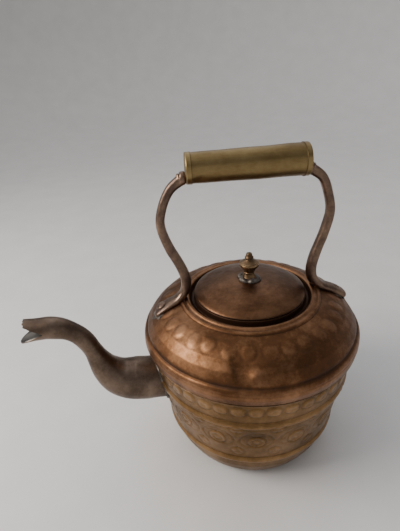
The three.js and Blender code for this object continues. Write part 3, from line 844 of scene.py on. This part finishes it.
def foot_solder(name, side, node, aside):
    """A thin pool on the dome: its thickness falls from the middle to a wavy shore."""
    angle = round_steps(90)[None]
    out = np.linspace(0, 1, 26)[:, None]
    shore = 1 + 0.10 * np.cos(3 * angle + side) + 0.08 * np.cos(5 * angle + 1) + 0.05 * np.cos(9 * angle)
    x = POOL_RADIUS + POOL_LONG * out * shore * np.cos(angle)
    y = aside + POOL_WIDE * out * shore * np.sin(angle)
    thick = POOL_DEEP * np.sqrt(np.clip(1 - out**2, 0, 1)) * (1 + 0.3 * waves(x, y, 6))
    away = np.minimum(np.hypot(x, y), edges_of("shoulder_dome")[1][0] - 0.5)
    top = np.stack([side * x, y, on_dome(away, 0.1) + thick], axis=-1)
    under = np.stack([side * x, y, on_dome(away, -0.1)], axis=-1)[::-1]
    pool = closed_grid(np.vstack([top, under[1:]]))
    piece(name, [pool], tin_solder, "tin_solder", "pot", node)


for end, side, aside in (("front", -1, -2.2), ("rear", 1, -0.8)):
    foot_rivet(f"rivet_{end}", side, f"foot_rivet_{end}", aside)
    foot_solder(f"solder_{end}", side, f"foot_solder_{end}", 1.5 * aside)

# %% [markdown]
# ## Grip
#
# A sheet of brass rolled into a tube, with its edges butted along the underside, and a cap pushed
# over it at each end. The tube is a little tapered and has small dents from use. Its lines are
# turned about X instead of Z.

# %% Grip tube
tube_low, tube_high = edges_of("grip_tube")
front_low, front_high = edges_of("grip_cap_front")
rear_low, rear_high = edges_of("grip_cap_rear")
CAP_OVER = 0.9                           # how far a cap's radius passes the tube's in the frame
SEAM_HEADING, KNOCK_HEADING = 250, 215   # degrees round the tube: 0 is +Y and 90 is up
GRIP_AXIS = (rear_low[2] + rear_high[2]) / 2
FRONT_RADIUS = (front_high[2] - front_low[2]) / 2 - CAP_OVER
REAR_RADIUS = (rear_high[2] - rear_low[2]) / 2 - CAP_OVER
length = np.linspace(tube_low[0], tube_high[0], 150)
tube = np.column_stack([np.interp(length, length[[0, -1]], [FRONT_RADIUS, REAR_RADIUS]), length])
angle = round_steps(160)[None]
seam = -0.5 * hump((angle - np.radians(SEAM_HEADING)) * 12.5, 0.7)
unevenness = round_waves(tube, 160, 26, 0.16) + round_waves(tube, 160, 60, 0.12)
aside, along_grip = np.abs(angle - np.radians(KNOCK_HEADING)) * 12, length[:, None] - length[0] - 9
knock = -0.55 * hump(np.hypot(aside, along_grip), 4)
bare = np.clip((length - length[0] - 2.6) / 2, 0, 1) * np.clip((length[-1] - 2.6 - length) / 2, 0, 1)
outside = turned(tube, 160, (unevenness + knock + seam) * bare[:, None], axis="X", centre=GRIP_AXIS)
inside = turned(tube[::6][::-1] - [1, 0], 160, axis="X", centre=GRIP_AXIS)
piece("grip_sleeve", [closed_grid(np.vstack([outside, inside]), ring=True)],
      grip_brass, "grip_brass", "pot", "grip_tube")

# %% Grip caps
CAP_PROUD = 0.55   # how far the cap's rim stands out past the tube


def cap(name, tube_radius, low, high, side, node):
    """A cap pushed over the tube's end: a close-fitting rim, a rounded edge and a flat face."""
    rim, face = (low[0], high[0]) if side > 0 else (-high[0], -low[0])
    r = tube_radius + CAP_PROUD
    line = softened([
        [0, face - 0.6], [5, face - 0.6], [r - 2.6, face - 0.3], [r - 1.4, face], [r - 0.5, face - 0.25],
        [r - 0.1, face - 1], [r - 0.15, face - 2.4], [r - 0.1, rim + 0.8], [r, rim + 0.4],
        [r - 0.15, rim], [r - 0.5, rim + 0.1], [r - 0.5, face - 2.1], [0, face - 2.1],
    ], 0.28, 110)
    grid = turned(line * [1, side], 140, axis="X", centre=GRIP_AXIS)
    grid[..., 0] += 0.12 * waves(grid[..., 1], grid[..., 2], 22)
    past_rim = side * (grid[..., 0] - side * rim)
    relief = 0.5 - 2.2 * hump(past_rim - 0.1, 0.35) - 0.9 * (line[:, :1] < r - 1)
    piece(name, [closed_grid(grid, relief=relief)], grip_brass, "grip_brass", "pot", node)


cap("cap_front", FRONT_RADIUS, front_low, front_high, -1, "grip_cap_front")
cap("cap_rear", REAR_RADIUS, rear_low, rear_high, 1, "grip_cap_rear")

# %% [markdown]
# ## Tie rod
#
# A brass bar runs through both eyes and both caps. It was cut long at the front and hammered over,
# which leaves a burred head there, and finished almost flush at the rear.

# %% Tie rod
front_end, rear_end = (corner[0] for corner in edges_of("grip_tie_rod"))
rod_line = softened([
    [0, rear_end], [2.2, rear_end - 0.2], [3.5, rear_end - 0.9], [3.7, rear_end - 1.4],
    [2.5, rear_end - 1.5], [2.5, front_end + 4.3], [3.9, front_end + 4.1], [4.0, front_end + 3.2],
    [3.2, front_end + 2.3], [1.9, front_end + 1.8], [0, front_end + 1.7],
], 0.4, 200)
heads = (rod_line[:, 1:] < front_end + 4) | (rod_line[:, 1:] > rear_end - 1.3)
rod_rise = round_waves(rod_line, 48, 4.5, 0.4) * heads
piece("tie_rod", [closed_grid(
    turned(rod_line, 48, rod_rise, axis="X", centre=ROD_HEIGHT), relief=0.5 * heads,
)], cast_brass, "cast_brass", "pot", "grip_tie_rod")

# %% [markdown]
# ## Parts kept from the frame
#
# The solder in the lap of the seam and the washer under the lid are plain rings, and their shapes
# are right as they are. They take a finish and nothing else.

# %% Frame nodes that stay
for node, finish in (("seam_solder", tin_solder), ("finial_washer", finial_brass)):
    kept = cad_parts[node]
    kept.data.materials.clear()
    kept.data.materials.append(finish)
    print(node, "kept, with", finish.name)

# %% [markdown]
# ## Stage and light
#
# The stage is a pale dish: a flat floor that curves up into a low wall all round, so that it looks
# the same from every side. Metal shows mostly what it reflects, so the light matters as much as
# the colour. One soft light on the left, like a window, draws the long gleam along the shoulder.
# The rest is the room: it is bright behind the kettle and to its left, and fades to a dark corner
# in front and to the right, which keeps that side of the copper brown.

# %% Stage
FLOOR = srgb("#dad8d6")
CLOUD, TOOTH = 60, 1.5   # millimetres: the width of the board's patches and of its tooth


def plaster(name, colour):
    """Painted board: pale, matte, with a faint cloud of patches and a fine tooth."""
    material = bpy.data.materials.new(name)
    material.use_nodes = True
    tree = material.node_tree
    shader = tree.nodes["Principled BSDF"]
    shader.inputs["Roughness"].default_value = 0.55
    place = put(tree, "TexCoord").outputs["Object"]
    cloud = put(tree, "TexNoise", {"Vector": place, "Scale": 1 / (CLOUD * MM), "Detail": 3})
    dark = tuple(0.94 * c for c in colour[:3]) + (1.0,)
    tone = put(tree, "ValToRGB", {"Fac": cloud.outputs["Fac"]}, [(0.3, dark), (0.7, colour)])
    tree.links.new(tone.outputs["Color"], shader.inputs["Base Color"])
    tooth = put(tree, "TexNoise", {"Vector": place, "Scale": 1 / (TOOTH * MM), "Detail": 2})
    bump = put(tree, "Bump", {"Height": tooth.outputs["Fac"], "Distance": 0.0001, "Strength": 0.2})
    tree.links.new(bump.outputs["Normal"], shader.inputs["Normal"])
    return material


dish = softened([[0, 0], [1500, 0], [1900, 120], [2200, 500], [2300, 1300]], 300, 60)
dish[:, 1] -= dish[0, 1]
dish_points, dish_faces = closed_grid(turned(dish, 96) * MM)[:2]
stage_mesh = bpy.data.meshes.new("stage")
stage_mesh.from_pydata(dish_points.tolist(), [], dish_faces.tolist())
stage_mesh.shade_smooth()
stage_mesh.materials.append(plaster("painted_board", FLOOR))
stage = bpy.data.objects.new("stage", stage_mesh)
bpy.context.scene.collection.objects.link(stage)
print("stage:", round(2 * dish[:, 0].max() * MM, 1), "m across")


# %% The window's light
def soft_light(name, place, aim, size, power, tint):
    """A rectangular light, `size` metres wide and high and `power` watts, at `place`, facing `aim`."""
    lamp = bpy.data.lights.new(name, "AREA")
    lamp.shape, lamp.size, lamp.size_y = "RECTANGLE", *size
    lamp.energy, lamp.color = power, srgb(tint)[:3]
    shown = bpy.data.objects.new(name, lamp)
    back = unit(np.array(place) - aim)
    side = unit(np.cross([0, 0, 1], back))
    axes = np.column_stack([side, np.cross(back, side), back])
    shown.matrix_world = Matrix.Translation(place) @ Matrix(axes.tolist()).to_4x4()
    bpy.context.scene.collection.objects.link(shown)


POT_MIDDLE = (0, 0, 0.13)
WINDOW = (-0.94, -0.08, 0.73)
soft_light("window", WINDOW, POT_MIDDLE, size=(0.62, 0.62), power=13, tint="#fff8f0")
print("window", round(np.linalg.norm(np.subtract(WINDOW, POT_MIDDLE)), 2), "m from the pot")

# %% The room's light
BRIGHT_SIDE = (-0.68, 0.62, 0.38)   # a direction of length 1: left, behind, and a little up
DARKEST, BRIGHTEST = 0.14, 1.35
room = bpy.data.worlds.new("room")
room.use_nodes = True
sky = room.node_tree
direction = put(sky, "TexCoord").outputs["Generated"]
toward = put(sky, "VectorMath", {0: direction, 1: BRIGHT_SIDE}, operation="DOT_PRODUCT")
shade = put(sky, "MapRange", {"Value": toward.outputs["Value"], "From Min": -0.6, "From Max": 0.85,
                              "To Min": DARKEST, "To Max": BRIGHTEST}, interpolation_type="SMOOTHSTEP")
sky.nodes["Background"].inputs["Color"].default_value = srgb("#eeeff2")
sky.links.new(shade.outputs[0], sky.nodes["Background"].inputs["Strength"])
bpy.context.scene.world = room
print("room's light from", DARKEST, "to", BRIGHTEST)
